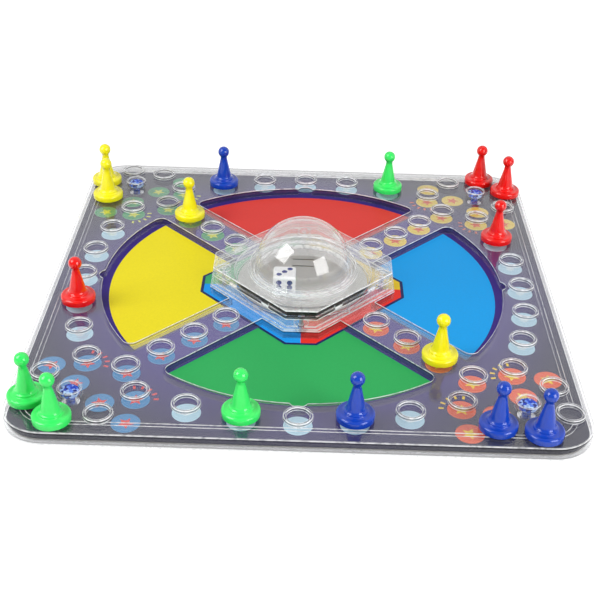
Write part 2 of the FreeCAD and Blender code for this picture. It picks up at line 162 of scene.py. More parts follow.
def clear_styrene(
    name,
    tint,
    ripple_scale,
    veil,
    edge_highlight,
    shade=NO_SHADE,
    shade_from=-EVERYWHERE,
    shade_half=EVERYWHERE,
    front=NO_SHADE,
):
    """
    Clear moulded sheet. Flat faces pass what lies behind and mirror the room a little, by Fresnel.
    Upright faces and edges get painted white highlights and painted shade by height: a white diffuse
    mixed in, and a darkening of what shows through. Lamp light passes straight through. Veil is a faint
    painted white haze on the flats that stands in for reflected light; two sets of stops give the painted
    highlights and the painted shade. The painted shade is kept to outward walls beyond shade_from mm and
    within shade_half mm of the middle, where no light from the side gets in, and front paints shade on
    the walls that face the player.
    """
    finish, tree, where = new_finish(name)
    tree.nodes.remove(tree.nodes["Principled BSDF"])
    flow = noise(tree, where, ripple_scale, 2.0)
    normal = bump(tree, 0.5, 0.0001, flow)
    scuffs = noise(tree, where, 400.0, 4.0)
    rough = remap(tree, scuffs, (0.45, 0.8), (0.03, 0.1))
    mirror = grow(tree, "ShaderNodeBsdfGlossy", {"Color": (1, 1, 1, 1), "Roughness": rough, "Normal": normal})
    geometry = grow(tree, "ShaderNodeNewGeometry").outputs

    edge = grow(tree, "ShaderNodeBevel", {"Radius": EDGE_ROUND * MM}, samples=6).outputs["Normal"]
    lean = grow(tree, "ShaderNodeSeparateXYZ", {"Vector": edge}).outputs
    steep = maths(tree, "SUBTRACT", 1.0, maths(tree, "MULTIPLY", lean["Z"], lean["Z"]))
    slope = maths(tree, "POWER", steep, 0.5, clamp=True)
    place = grow(tree, "ShaderNodeSeparateXYZ", {"Vector": where}).outputs
    height = place["Z"]

    # Painted shade: a darkening by height on outward walls, and on walls that face the player by the front
    # stops.
    plan = grow(tree, "ShaderNodeVectorMath", {0: where, 1: (1, 1, 0)}, operation="MULTIPLY").outputs[0]
    facing_out = {0: plan, 1: geometry["Normal"]}
    reach = grow(tree, "ShaderNodeVectorMath", facing_out, operation="DOT_PRODUCT").outputs["Value"]
    outer = maths(tree, "GREATER_THAN", reach, shade_from * MM)
    across = maths(tree, "ABSOLUTE", place["X"])
    near = remap(tree, across, (shade_half * MM, (shade_half - SHADE_FADE) * MM))
    shaded = maths(tree, "MULTIPLY", maths(tree, "MULTIPLY", outer, near), level_ramp(tree, height, shade))
    shaded = maths(tree, "MULTIPLY", slope, shaded)
    toward = maths(tree, "MULTIPLY", lean["Y"], -1.0, clamp=True)
    toward = maths(tree, "MULTIPLY", toward, level_ramp(tree, height, front))
    painted_shade = maths(tree, "MAXIMUM", toward, shaded)
    kept = maths(tree, "SUBTRACT", 1.0, painted_shade)

    # Painted highlight: white diffuse on edges and upright faces by height, broken into streaks, over a faint
    # painted veil on the flats.
    streaks = remap(tree, scuffs, (0.36, 0.52), (0.5, 1.0))
    highlight_share = maths(tree, "MULTIPLY", level_ramp(tree, height, edge_highlight), slope)
    painted_veil = remap(tree, scuffs, (0.3, 0.7), (veil * 0.75, veil * 1.25))
    highlight_share = maths(tree, "MAXIMUM", maths(tree, "MULTIPLY", highlight_share, streaks), painted_veil)
    highlight_share = maths(tree, "MULTIPLY", highlight_share, kept)

    # The painted shade darkens what shows through and dims the mirror.
    through = blend(tree, painted_shade, tint, [c * 0.02 for c in tint])
    behind = grow(tree, "ShaderNodeBsdfTransparent", {"Color": through}).outputs[0]
    share = maths(tree, "MULTIPLY", mirror_share(tree, normal, geometry["Backfacing"]), kept)
    sheet = grow(tree, "ShaderNodeMixShader", {0: share, 1: behind, 2: mirror.outputs[0]}).outputs[0]
    caught = grow(tree, "ShaderNodeBsdfDiffuse", {"Color": CAUGHT_LIGHT}).outputs[0]
    plastic = grow(tree, "ShaderNodeMixShader", {0: highlight_share, 1: sheet, 2: caught}).outputs[0]

    ray = grow(tree, "ShaderNodeLightPath").outputs
    lamp_ray = maths(tree, "MAXIMUM", ray["Is Shadow Ray"], ray["Is Diffuse Ray"])
    straight = grow(tree, "ShaderNodeBsdfTransparent", {"Color": PASSED_LIGHT}).outputs[0]
    surface = grow(tree, "ShaderNodeMixShader", {0: lamp_ray, 1: plastic, 2: straight}).outputs[0]
    feed(tree, tree.nodes["Material Output"], {"Surface": surface})
    return finish


def dress(node, finish):
    """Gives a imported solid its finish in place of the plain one."""
    solid = moulding[node]
    solid.data.materials.clear()
    solid.data.materials.append(finish)
    return solid


# Painted white highlights along the tray's foot and rim by height, and painted shade on its walls that face
# the player.
TRAY_HIGHLIGHT = [(0, 0.9), (0.9, 0.9), (1.0, 0.2), (1.7, 0.2), (1.8, 0.7), (2.0, 0.7), (3.5, 0.2)]
TRAY_FRONT_SHADE = [(0, 0.0), (0.9, 0.0), (1.0, 0.65), (2.0, 0.65)]
TRAY_TINT = (0.96, 0.965, 0.975)
dress("base_tray", clear_styrene("tray clear styrene", TRAY_TINT, 55, 0.05, TRAY_HIGHLIGHT, front=TRAY_FRONT_SHADE))

# Printed card
# One sheet of coated grey board under the cover, printed in solid inks: a violet ground that darkens to
# navy at the edge, four coloured fields, a coloured octagon round the dice housing and a spot for each cup.

CARD_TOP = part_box("printed_card")[1].z / MM
LAYER = 0.02
GROUND_VIOLET = (0.045, 0.022, 0.23)
EDGE_NAVY = (0.018, 0.018, 0.05)
BARE_BOARD = (0.62, 0.6, 0.56)
NAVY_STARTS, NAVY_FULL = 85.0, 150.0


def printed_ink(name, colour, mottle=0.12, gloss=0.42, sheen=0.12):
    """A solid ink on coated board, with the slight mottle of offset printing."""
    finish, tree, where = new_finish(name)
    grain = noise(tree, where, 900, 3.0)
    cloud = noise(tree, where, 14, 1.0)
    shade = remap(tree, maths(tree, "ADD", grain, cloud), (0.6, 1.4))
    dark, light = [c * (1 - mottle) for c in colour], [min(1.0, c * (1 + mottle)) for c in colour]
    surface = {
        "Base Color": blend(tree, shade, dark, light),
        "Normal": bump(tree, 0.3, 0.00001, grain),
        "Roughness": remap(tree, grain, (0.0, 1.0), (gloss - 0.06, gloss + 0.1)),
        "Specular IOR Level": sheen,
    }
    feed(tree, tree.nodes["Principled BSDF"], surface)
    return finish


def card_stock():
    """The sheet itself: violet to navy ground ink on the face, bare grey board below and at the cut edge."""
    finish = printed_ink("card ground ink", GROUND_VIOLET)
    tree = finish.node_tree
    ink = tree.nodes["Principled BSDF"]
    printed = ink.inputs["Base Color"].links[0].from_socket
    where = grow(tree, "ShaderNodeTexCoord").outputs["Object"]
    flat = grow(tree, "ShaderNodeVectorMath", {0: where, 1: (1, 1, 0)}, operation="MULTIPLY").outputs[0]
    reach = grow(tree, "ShaderNodeVectorMath", {0: flat}, operation="LENGTH").outputs["Value"]
    fade = remap(tree, reach, (NAVY_STARTS * MM, NAVY_FULL * MM), curve="SMOOTHSTEP")
    ground = blend(tree, fade, printed, EDGE_NAVY)
    normal = grow(tree, "ShaderNodeNewGeometry").outputs["Normal"]
    rise = grow(tree, "ShaderNodeSeparateXYZ", {"Vector": normal}).outputs["Z"]
    face_up = maths(tree, "GREATER_THAN", rise, 0.5)
    feed(tree, ink, {"Base Color": blend(tree, face_up, BARE_BOARD, ground)})
    return finish


dress("printed_card", card_stock())


def turned(points, quarters):
    """Plan points turned by quarter turns about the board's middle."""
    for _ in range(quarters % 4):
        points = [(-y, x) for x, y in points]
    return points


def round_spot(x, y, radius, sides=40):
    """A round spot's outline."""
    return [
        (x + radius * math.cos(2 * math.pi * n / sides), y + radius * math.sin(2 * math.pi * n / sides))
        for n in range(sides)
    ]


STAR_WAIST = 0.45


def star_mark(x, y, radius, turn=0.0):
    """A plain five pointed star."""
    corners = []
    for n in range(10):
        reach = radius if n % 2 == 0 else radius * STAR_WAIST
        angle = math.pi / 2 + turn + n * math.pi / 5
        corners.append((x + reach * math.cos(angle), y + reach * math.sin(angle)))
    return corners


DASH_FROM, DASH_TO, DASH_HALF = 8.2, 10.6, 0.6


def dash_mark(x, y, angle):
    """A short dash that points away from a spot's middle, just outside the spot."""
    out, across = (math.cos(angle), math.sin(angle)), (-math.sin(angle), math.cos(angle))
    corners = ((DASH_FROM, -DASH_HALF), (DASH_TO, -DASH_HALF), (DASH_TO, DASH_HALF), (DASH_FROM, DASH_HALF))
    return [(x + r * out[0] + w * across[0], y + r * out[1] + w * across[1]) for r, w in corners]


def print_layer(name, inks, level):
    """Flat print on the card: inks is a list of (finish, plan outlines in mm)."""
    sheet = bpy.data.meshes.new(name)
    work = bmesh.new()
    for index, (finish, outlines) in enumerate(inks):
        sheet.materials.append(finish)
        for outline in outlines:
            corners = [work.verts.new((x * MM, y * MM, (CARD_TOP + level * LAYER) * MM)) for x, y in outline]
            face = work.faces.new(corners)
            face.normal_update()
            if face.normal.z < 0:
                face.normal_flip()
            face.material_index = index
    work.to_mesh(sheet)
    work.free()
    layer = bpy.data.objects.new(name, sheet)
    bpy.context.scene.collection.objects.link(layer)
    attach(layer, "board")
    return layer


FIELD_ARC = 103.3
LANE_HALF = 13.2
OCTAGON_LONG = 41.0
OCTAGON_SHORT = 48.9
BAND_LONG, BAND_SHORT = 42.7, 52.9
OUTLINE_LONG, OUTLINE_SHORT = 44.2, 54.5
ARC_STEPS = 48


def octagon_corner(long_side, short_side):
    """The front flat's right end, of an octagon with long sides towards the board's corners."""
    return (long_side * math.sqrt(2) - short_side, -short_side)


def field_outline():
    """The front field's outline: two lane edges, an outer arc and the octagon's edge."""
    half = math.sqrt(0.5)
    inner = octagon_corner(OCTAGON_LONG, OCTAGON_SHORT)
    shoulder = ((OCTAGON_LONG - LANE_HALF) * half, -(OCTAGON_LONG + LANE_HALF) * half)
    tip_reach = math.sqrt(FIELD_ARC**2 - LANE_HALF**2)
    last = math.atan2(-(tip_reach + LANE_HALF), tip_reach - LANE_HALF)
    sweep = [last + (-math.pi - 2 * last) * n / ARC_STEPS for n in range(ARC_STEPS + 1)]
    bow = [(FIELD_ARC * math.cos(a), FIELD_ARC * math.sin(a)) for a in sweep]
    return [(-inner[0], inner[1]), inner, shoulder] + bow + [(-shoulder[0], shoulder[1])]


FIELD_INKS = (
    ("front field green ink", (0.035, 0.42, 0.11)),
    ("right field blue ink", (0.012, 0.36, 0.84)),
    ("back field red ink", (0.76, 0.055, 0.045)),
    ("left field yellow ink", (0.88, 0.75, 0.02)),
)
FIELD_MOTTLE = 0.05
field_prints = []
for quarter, (name, colour) in enumerate(FIELD_INKS):
    field_prints.append((printed_ink(name, colour, FIELD_MOTTLE), [turned(field_outline(), quarter)]))
print_layer("print_fields", field_prints, 2)

BAND_INKS = (
    ("octagon red ink", (0.84, 0.035, 0.025)),
    ("octagon yellow ink", (0.85, 0.6, 0.03)),
    ("octagon green ink", (0.05, 0.4, 0.16)),
    ("octagon blue ink", (0.012, 0.33, 0.88)),
)


def octagon_quarter(long_side, short_side):
    """The part of the octagon that lies in the front right quarter of the board."""
    corner = octagon_corner(long_side, short_side)
    return [(0, corner[1]), corner, (-corner[1], -corner[0]), (-corner[1], 0), (0, 0)]


navy_ink = printed_ink("navy outline ink", (0.014, 0.02, 0.11))
outline = octagon_quarter(OUTLINE_LONG, OUTLINE_SHORT)
print_layer("print_octagon_edge", [(navy_ink, [turned(outline, q) for q in range(4)])], 3)
band = octagon_quarter(BAND_LONG, BAND_SHORT)
band_prints = [(printed_ink(name, colour), [turned(band, q)]) for q, (name, colour) in enumerate(BAND_INKS)]
print_layer("print_octagon", band_prints, 4)

TRACK_ARC = 195.0
TRACK_APEX = 117.6
TRACK_STEP = math.radians(7.57)
LANE_SPOTS = (38.3, 53.04, 67.78, 82.52)
SPOT_RADIUS = 6.7
CORE_RADIUS = 2.2
STAR_RADIUS = 4.0
STAR_TURN, STAR_TURN_STEP = 0.4, 0.5
DASH_FAN = 0.42
HOME_MIDDLE = 98.4
HOME_PLACES = (-29.8, -9.9, 9.9, 29.8)


def track_spot(step):
    """A spot of the front side's bowed row, counted in steps from its middle."""
    angle = step * TRACK_STEP
    return (TRACK_ARC * math.sin(angle), -TRACK_APEX + TRACK_ARC * (1 - math.cos(angle)))


def home_row():
    """
    The four spots of a home, in a straight row across the front right corner. The cover's cups follow an
    arc there, so the spots lie beside them.
    """
    half = math.sqrt(0.5)
    return [(HOME_MIDDLE + s * half, -HOME_MIDDLE + s * half) for s in HOME_PLACES]


HOME_INKS = (
    ("right home", (0.78, 0.12, 0.05), (0.86, 0.6, 0.03)),
    ("back home", (0.8, 0.6, 0.09), (0.72, 0.12, 0.04)),
    ("left home", (0.06, 0.32, 0.14), (0.62, 0.66, 0.06)),
    ("front home", (0.05, 0.24, 0.5), (0.72, 0.06, 0.06)),
)
pale_ink = printed_ink("track spot pale ink", (0.45, 0.66, 0.78), 0.04)
core_ink = printed_ink("track spot core ink", (0.62, 0.76, 0.82), 0.03)
pale_spots, core_spots = [], []
for quarter in range(4):
    for step in (-2, -1, 0, 1, 2):
        pale_spots.append(turned(round_spot(*track_spot(step), SPOT_RADIUS), quarter))
        core_spots.append(turned(round_spot(*track_spot(step), CORE_RADIUS, 20), quarter))
print_layer("print_track_spots", [(pale_ink, pale_spots)], 1)
print_layer("print_track_cores", [(core_ink, core_spots)], 2)

spot_inks, mark_inks = [], []
for quarter, (name, spot_colour, mark_colour) in enumerate(HOME_INKS):
    places = [(s, -s) for s in LANE_SPOTS] + [track_spot(3), turned([track_spot(-3)], 1)[0]] + home_row()
    spots = [turned(round_spot(x, y, SPOT_RADIUS), quarter) for x, y in places]
    marks = []
    for n, (x, y) in enumerate(places):
        marks.append(turned(star_mark(x, y, STAR_RADIUS, STAR_TURN + STAR_TURN_STEP * n), quarter))
    for x, y in places[4:6]:
        inward = math.atan2(-y, -x)
        marks += [turned(dash_mark(x, y, inward + DASH_FAN * n), quarter) for n in (-2, -1, 0, 1, 2)]
    spot_inks.append((printed_ink(f"{name} spot ink", spot_colour), spots))
    mark_inks.append((printed_ink(f"{name} star ink", mark_colour), marks))
print_layer("print_home_spots", spot_inks, 1)
print_layer("print_home_stars", mark_inks, 2)

# Cover
# The clear lid over the card: one moulding with the outer wall, the four wells that show the card bare, the
# double line round the deck, the ring cups and the corner sockets. Clear styrene, glossier than the tray.

# The pawns stand on the deck, so a pawn's foot gives the deck's height.
DECK_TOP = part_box("pawn_green_1")[0].z / MM
CUP_TOP = DECK_TOP + 1.8
SOCKET_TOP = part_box("board_cover")[1].z / MM
# Painted white highlights on the deck's edge at the wells, the cups' feet and the cups' rims.
COVER_HIGHLIGHT = [
    (2.0, 0.0),
    (DECK_TOP - 0.55, 0.0),
    (DECK_TOP - 0.45, 0.85),
    (DECK_TOP, 0.85),
    (DECK_TOP + 0.3, 0.7),
    (DECK_TOP + 0.4, 0.25),
    (CUP_TOP - 0.6, 0.3),
    (CUP_TOP - 0.4, 1.0),
    (CUP_TOP, 1.0),
]
# Painted shade just under the deck's edge and on the cup walls under the rims; the front stops paint shade on
# the outer wall that faces the player.
COVER_SHADE = [
    (2.0, 0.0),
    (DECK_TOP - 2.0, 0.0),
    (DECK_TOP - 1.0, 0.6),
    (DECK_TOP - 0.7, 0.6),
    (DECK_TOP - 0.5, 0.0),
    (DECK_TOP + 0.35, 0.0),
    (DECK_TOP + 0.5, 0.5),
    (CUP_TOP - 0.7, 0.6),
    (CUP_TOP - 0.5, 0.0),
]
COVER_FRONT_SHADE = [(2.0, 0.45), (DECK_TOP - 1.0, 0.15), (DECK_TOP, 0.0)]
COVER_TINT = (0.985, 0.985, 0.99)
COVER_RIPPLE, COVER_VEIL = 45, 0.01
cover_plastic = clear_styrene(
    "cover clear styrene", COVER_TINT, COVER_RIPPLE, COVER_VEIL, COVER_HIGHLIGHT, COVER_SHADE, front=COVER_FRONT_SHADE
)
cover = dress("board_cover", cover_plastic)

SOCKET_MIDDLE = 104.8
SOCKET_REACH = 6.0
ABOVE_DECK = 0.05
# Painted white highlight round each socket's top edge.
SOCKET_HIGHLIGHT = [(DECK_TOP, 0.1), (SOCKET_TOP - 0.5, 0.06), (SOCKET_TOP - 0.3, 0.8), (SOCKET_TOP, 0.8)]
socket_plastic = clear_styrene("socket clear styrene", COVER_TINT, COVER_RIPPLE, COVER_VEIL, SOCKET_HIGHLIGHT)
cover.data.materials.append(socket_plastic)
for face in cover.data.polygons:
    x, y, z = face.center / MM
    in_socket = math.hypot(abs(x) - SOCKET_MIDDLE, abs(y) - SOCKET_MIDDLE) < SOCKET_REACH
    if in_socket and z > DECK_TOP + ABOVE_DECK:
        face.material_index = 1

# Corner rivets
# Four translucent blue plastic rivets, one in each corner socket. Their faceted heads press the cover down
# on card and tray, and their split feet spread under the tray floor.

RIVET_FACETS = 10
RIVET_TURN = 0.3


def blue_styrene():
    """Translucent blue plastic with painted glints and painted shade: random cells of deep, mid and pale
    blue.
    """
    finish, tree, where = new_finish("rivet blue styrene")
    glints = grow(tree, "ShaderNodeTexVoronoi", {"Vector": where, "Scale": 650.0}, feature="F1").outputs
    # Painted glints and painted shade: the pale and deep blue cells stand in for the facets' reflections.
    stops = (
        (0.3, (0.004, 0.014, 0.2)),
        (0.45, (0.006, 0.05, 0.6)),
        (0.65, (0.02, 0.14, 0.85)),
        (0.85, (0.5, 0.7, 1.0)),
    )
    surface = {
        "Base Color": colour_ramp(tree, glints["Color"], stops),
        "Normal": bump(tree, 0.8, 0.0006, glints["Distance"]),
        "Roughness": 0.12,
        "Specular IOR Level": 0.3,
    }
    feed(tree, tree.nodes["Principled BSDF"], surface)
    return finish


rivet_plastic = blue_styrene()


def lathe(name, profile, sides, finish, turn=0.0, smooth=True):
    """A turned piece from its profile of (radius, height) in mm, about the Z axis, closed at both ends."""
    sheet = bpy.data.meshes.new(name)
    work = bmesh.new()
    rings = []
    for radius, height in profile:
        if radius < 1e-6:
            rings.append([work.verts.new((0, 0, height * MM))])
            continue
        ring = []
        for n in range(sides):
            angle = turn + 2 * math.pi * n / sides
            across, along = radius * MM * math.cos(angle), radius * MM * math.sin(angle)
            ring.append(work.verts.new((across, along, height * MM)))
        rings.append(ring)
    for lower, upper in zip(rings, rings[1:]):
        for n in range(sides):
            m = (n + 1) % sides
            corners = [lower[n % len(lower)], lower[m % len(lower)]]
            corners += [upper[m % len(upper)], upper[n % len(upper)]]
            work.faces.new(list(dict.fromkeys(corners)))
    bmesh.ops.recalc_face_normals(work, faces=work.faces)
    for face in work.faces:
        face.smooth = smooth
    work.to_mesh(sheet)
    work.free()
    sheet.materials.append(finish)
    piece = bpy.data.objects.new(name, sheet)
    bpy.context.scene.collection.objects.link(piece)
    return piece


rivet_profile = [(0, 0.2), (2.1, 0.2), (2.8, 0.8), (2.1, 0.8), (2.1, DECK_TOP)]
rivet_profile += [(4.4, DECK_TOP), (4.5, 7.4), (4.5, 8.9), (3.9, 9.5), (1.9, 9.7), (0, 9.4)]
for number, (sx, sy) in enumerate(((-1, -1), (1, -1), (1, 1), (-1, 1))):
    name, turn = f"corner_rivet_{number + 1}", RIVET_TURN * number
    rivet = lathe(name, rivet_profile, RIVET_FACETS, rivet_plastic, turn, smooth=False)
    rivet.location = (sx * SOCKET_MIDDLE * MM, sy * SOCKET_MIDDLE * MM, 0)
    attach(rivet, "board")
    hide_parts("corner_rivets")

# Dice housing
# Two clear mouldings snapped together: an octagonal wall that is screwed down on the cover from below,
# and a top plate whose eight tabs click into the wall and trap the dome's flange between them.

BASE_TOP = 14.7
FRAME_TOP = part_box("housing_frame")[1].z / MM
COLLAR_BOTTOM = 13.8
# Painted white highlights on the wall's foot and upper edge and on the plate's tabs, collar and rim; painted
# shade on the wall top and the plate's outer edge paints the gap under the plate dark.
BASE_HIGHLIGHT = [
    (DECK_TOP, 0.6),
    (DECK_TOP + 0.9, 0.5),
    (DECK_TOP + 1.2, 0.05),
    (BASE_TOP - 2.2, 0.05),
    (BASE_TOP - 2.0, 0.8),
    (BASE_TOP - 1.7, 0.8),
    (BASE_TOP - 1.5, 0.0),
    (BASE_TOP, 0.0),
]
BASE_SHADE = [(DECK_TOP, 0.0), (BASE_TOP - 1.6, 0.0), (BASE_TOP - 1.4, 0.8), (BASE_TOP, 0.8)]
FRAME_HIGHLIGHT = [
    (BASE_TOP - 2.0, 0.7),
    (COLLAR_BOTTOM, 0.7),
    (COLLAR_BOTTOM + 0.1, 0.95),
    (COLLAR_BOTTOM + 0.6, 0.8),
    (BASE_TOP + 0.1, 0.12),
    (FRAME_TOP - 0.7, 0.1),
    (FRAME_TOP - 0.5, 0.95),
    (FRAME_TOP, 0.95),
]
FRAME_SHADE = [
    (BASE_TOP - 2.0, 0.0),
    (BASE_TOP, 0.0),
    (BASE_TOP + 0.05, 0.88),
    (FRAME_TOP - 0.65, 0.88),
    (FRAME_TOP - 0.55, 0.0),
]
# The painted shade is kept to outward walls beyond WALL_REACH mm and within GAP_HALF mm of the middle.
WALL_REACH = 38.0
GAP_HALF = 36.0
clear_tint, ripple = (0.975, 0.98, 0.975), 90
base_plastic = clear_styrene(
    "housing wall styrene", clear_tint, ripple, 0.03, BASE_HIGHLIGHT, BASE_SHADE, WALL_REACH, GAP_HALF
)
frame_plastic = clear_styrene(
    "housing plate styrene", clear_tint, ripple, 0.02, FRAME_HIGHLIGHT, FRAME_SHADE, WALL_REACH, GAP_HALF
)
dress("housing_base", base_plastic)
dress("housing_frame", frame_plastic)


def bare_steel(name, colour, roughness, streak):
    """Bare steel with fine rolling or drawing streaks along X."""
    finish, tree, where = new_finish(name)
    stretched = grow(tree, "ShaderNodeMapping", {"Vector": where, "Scale": (120, streak, 400)})
    lines = noise(tree, stretched.outputs["Vector"], 1.0, 5.0)
    surface = {
        "Metallic": 1.0,
        "Base Color": blend(tree, lines, [c * 0.85 for c in colour], colour),
        "Roughness": remap(tree, lines, (0.0, 1.0), (roughness - 0.06, roughness + 0.08)),
        "Normal": bump(tree, 0.4, 0.00001, lines),
    }
    feed(tree, tree.nodes["Principled BSDF"], surface)
    return finish


dress("housing_screws", bare_steel("screw zinc plate", (0.62, 0.62, 0.64), 0.35, 900))

# Popper
# The dome with its skirt, flange and legs is one clear moulding. Its legs are staked to a sprung steel plate,
# and four wire springs on the tray lift both again after a press.

# Painted white highlights on the dome's skirt and the rings round its foot, and painted shade on the flange
# edge.
DOME_HIGHLIGHT = [
    (6.5, 0.25),
    (12.0, 0.2),
    (12.2, 0.6),
    (13.6, 0.7),
    (14.0, 0.9),
    (14.8, 0.3),
    (FRAME_TOP, 0.08),
    (FRAME_TOP + 1.5, 0.0),
    (44, 0.0),
]
DOME_SHADE = [(6, 0.0), (12.1, 0.0), (12.3, 0.8), (13.5, 0.8), (13.7, 0.0), (44, 0.0)]
DOME_TINT = (0.965, 0.965, 0.965)
DOME_REACH = 30.0
dome_plastic = clear_styrene("dome clear styrene", DOME_TINT, 30, 0.02, DOME_HIGHLIGHT, DOME_SHADE, DOME_REACH)
dress("popper_dome", dome_plastic)
dress("clicker_plate", bare_steel("plate spring steel", (0.5, 0.485, 0.46), 0.4, 1500))
dress("return_springs", bare_steel("drawn spring wire", (0.55, 0.55, 0.57), 0.3, 2000))

# Die
# A cast white die, 12 mm, with dimpled pips painted dark blue.

DIE_HALF = 6.0
PIP_PITCH, PIP_RADIUS, PIP_DEPTH = 2.8, 1.45, 0.33
DIMPLE_RADIUS, DIMPLE_DEPTH = 1.5, 0.35
PIP_SIDES = 24


def cast_white():
    """White casting resin: even, glossy, with the faintest mottle and polish marks."""
    finish = printed_ink("die white resin", (0.95, 0.95, 0.95), 0.03, 0.22, 0.5)
    feed(finish.node_tree, finish.node_tree.nodes["Principled BSDF"], {"Coat Weight": 0.3})
    return finish


dress("die", cast_white())
pip_paint = printed_ink("pip blue paint", (0.012, 0.02, 0.2), 0.15, 0.3, 0.5)
PIP_FACES = (
    (3, (1, 0, 0), (0, 1, 0), (0, 0, 1)),
    (4, (1, 0, 0), (0, -1, 0), (0, 0, -1)),
    (6, (1, 0, 0), (0, 0, 1), (0, -1, 0)),
    (1, (1, 0, 0), (0, 0, -1), (0, 1, 0)),
    (2, (0, 1, 0), (0, 0, 1), (1, 0, 0)),
    (5, (0, -1, 0), (0, 0, 1), (-1, 0, 0)),
)
PIP_SPOTS = {
    1: [(0, 0)],
    2: [(-1, -1), (1, 1)],
    3: [(-1, -1), (0, 0), (1, 1)],
    4: [(-1, -1), (1, 1), (-1, 1), (1, -1)],
    5: [(-1, -1), (1, 1), (-1, 1), (1, -1), (0, 0)],
    6: [(-1, -1), (1, 1), (-1, 1), (1, -1), (-1, 0), (1, 0)],
}


def painted_pips():
    """The paint in every dimple, as shallow bowls just proud of the resin."""
    ball = (DIMPLE_RADIUS**2 + DIMPLE_DEPTH**2) / (2 * DIMPLE_DEPTH)
    low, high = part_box("die")
    middle = (low + high) / 2 / MM
    sheet = bpy.data.meshes.new("die_pips")
    work = bmesh.new()
    for count, across, along, out in PIP_FACES:
        across, along, out = Vector(across), Vector(along), Vector(out)
        for a, b in PIP_SPOTS[count]:
            spot = middle + across * (a * PIP_PITCH) + along * (b * PIP_PITCH) + out * DIE_HALF
            bottom = work.verts.new((spot - out * PIP_DEPTH) * MM)
            rings = []
            for reach in (0.35, 0.7, 1.0):
                r = PIP_RADIUS * reach
                drop = math.sqrt(ball**2 - r**2) - (ball - PIP_DEPTH)
                ring = []
                for n in range(PIP_SIDES):
                    angle = 2 * math.pi * n / PIP_SIDES
                    edge = across * (r * math.cos(angle)) + along * (r * math.sin(angle))
                    ring.append(work.verts.new((spot + edge - out * drop) * MM))
                rings.append(ring)
            for n in range(PIP_SIDES):
                m = (n + 1) % PIP_SIDES
                work.faces.new((bottom, rings[0][n], rings[0][m]))
                for inner, outer in zip(rings, rings[1:]):
                    work.faces.new((inner[n], outer[n], outer[m], inner[m]))
    for face in work.faces:
        face.smooth = True
    work.to_mesh(sheet)
    work.free()
    sheet.materials.append(pip_paint)
    pips = bpy.data.objects.new("die_pips", sheet)
    bpy.context.scene.collection.objects.link(pips)
    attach(pips, "loose_die")


painted_pips()

# Pawns
# Sixteen cone pawns, four of each colour, moulded in soft glossy polypropylene. Each is hollow below, so
# that its wide foot caps a ring cup, and lifts off by its ball.

PAWN_COLOURS = (
    ("green", (0.04, 0.88, 0.14)),
    ("blue", (0.002, 0.05, 0.46)),
    ("yellow", (0.98, 0.87, 0.005)),
    ("red", (0.86, 0.005, 0.003)),
)


def soft_polypropylene(name, colour):
    """Glossy dyed plastic with a little light inside it and a faint moulded ripple."""
    finish, tree, where = new_finish(name)
    cloud = noise(tree, where, 160.0, 3.0)
    tone = blend(tree, cloud, [c * 0.92 for c in colour], [min(1.0, c * 1.06 + 0.004) for c in colour])
    surface = {
        "Base Color": tone,
        "Roughness": remap(tree, cloud, (0.0, 1.0), (0.08, 0.2)),
        "Normal": bump(tree, 0.25, 0.0002, cloud),
        "Specular IOR Level": 0.08,
        "Coat Weight": 0.85,
        "Coat Roughness": 0.03,
        "Subsurface Weight": 0.05,
        "Subsurface Radius": (0.002, 0.002, 0.002),
        "Subsurface Scale": 1.0,
    }
    feed(tree, tree.nodes["Principled BSDF"], surface)
    return finish


def rounded(points, centre, radius, start, end, steps):
    """Adds an arc to a profile, angles in degrees from the outward radius."""
    for n in range(steps + 1):
        angle = math.radians(start + (end - start) * n / steps)
        points.append((centre[0] + radius * math.cos(angle), centre[1] + radius * math.sin(angle)))


def pawn_profile():
    """Half of the pawn's section, from the top of its hollow, round the skirt and up to the ball."""
    outline = [(0, 2.6), (6.9, 2.6)]
    rounded(outline, (6.9, 2.2), 0.4, 90, 0, 3)
    outline += [(7.4, 0.2), (7.6, 0.0), (8.7, 0.0)]
    rounded(outline, (8.65, 0.25), 0.25, -90, 0, 3)
    rounded(outline, (7.6, 2.3), 1.3, 0, 84, 9)
    outline += [(7.2, 3.52), (6.6, 3.5), (6.1, 3.62)]
    rounded(outline, (5.9, 4.1), 0.4, -90, -180, 3)
    outline += [(5.45, 4.6)]
    for n in range(7):
        angle = math.pi / 2 * n / 6
        outline.append((5.45 - 1.25 * math.sin(angle), 7.2 - 2.5 * math.cos(angle)))
    outline += [(3.75, 9.0), (3.1, 12.0), (2.45, 15.0), (2.05, 17.0)]
    start = math.degrees(math.acos(2.0 / 3.4))
    rounded(outline, (0, 21.6), 3.4, -start, 90, 14)
    outline[-1] = (0, 25.0)
    return outline


for colour, tone in PAWN_COLOURS:
    plastic = soft_polypropylene(f"{colour} polypropylene", tone)
    pattern = lathe(f"{colour}_pawn", pawn_profile(), 72, plastic)
    for number in (1, 2, 3, 4):
        node = f"pawn_{colour}_{number}"
        low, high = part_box(node)
        pawn = pattern if number == 1 else pattern.copy()
        pawn.name = f"{colour}_pawn_{number}"
        if number > 1:
            bpy.context.scene.collection.objects.link(pawn)
        pawn.location = ((low.x + high.x) / 2, (low.y + high.y) / 2, DECK_TOP * MM)
        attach(pawn, node + "_piece")
        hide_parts(node)

# Studio
# A plain white table, two soft boxes in front and a white surround, with the camera where the
# photographer stood. The flat clear sheets mirror no lamp, so that from behind no glare hides the board.

TABLE_HALF = 1.2
TABLE_DROP = 0.0002
TABLE_GREY = (0.5, 0.5, 0.5, 1)
TABLE_GLOW = 0.8
ROOM_FILL = 0.26
WHITE = (1, 1, 1, 1)


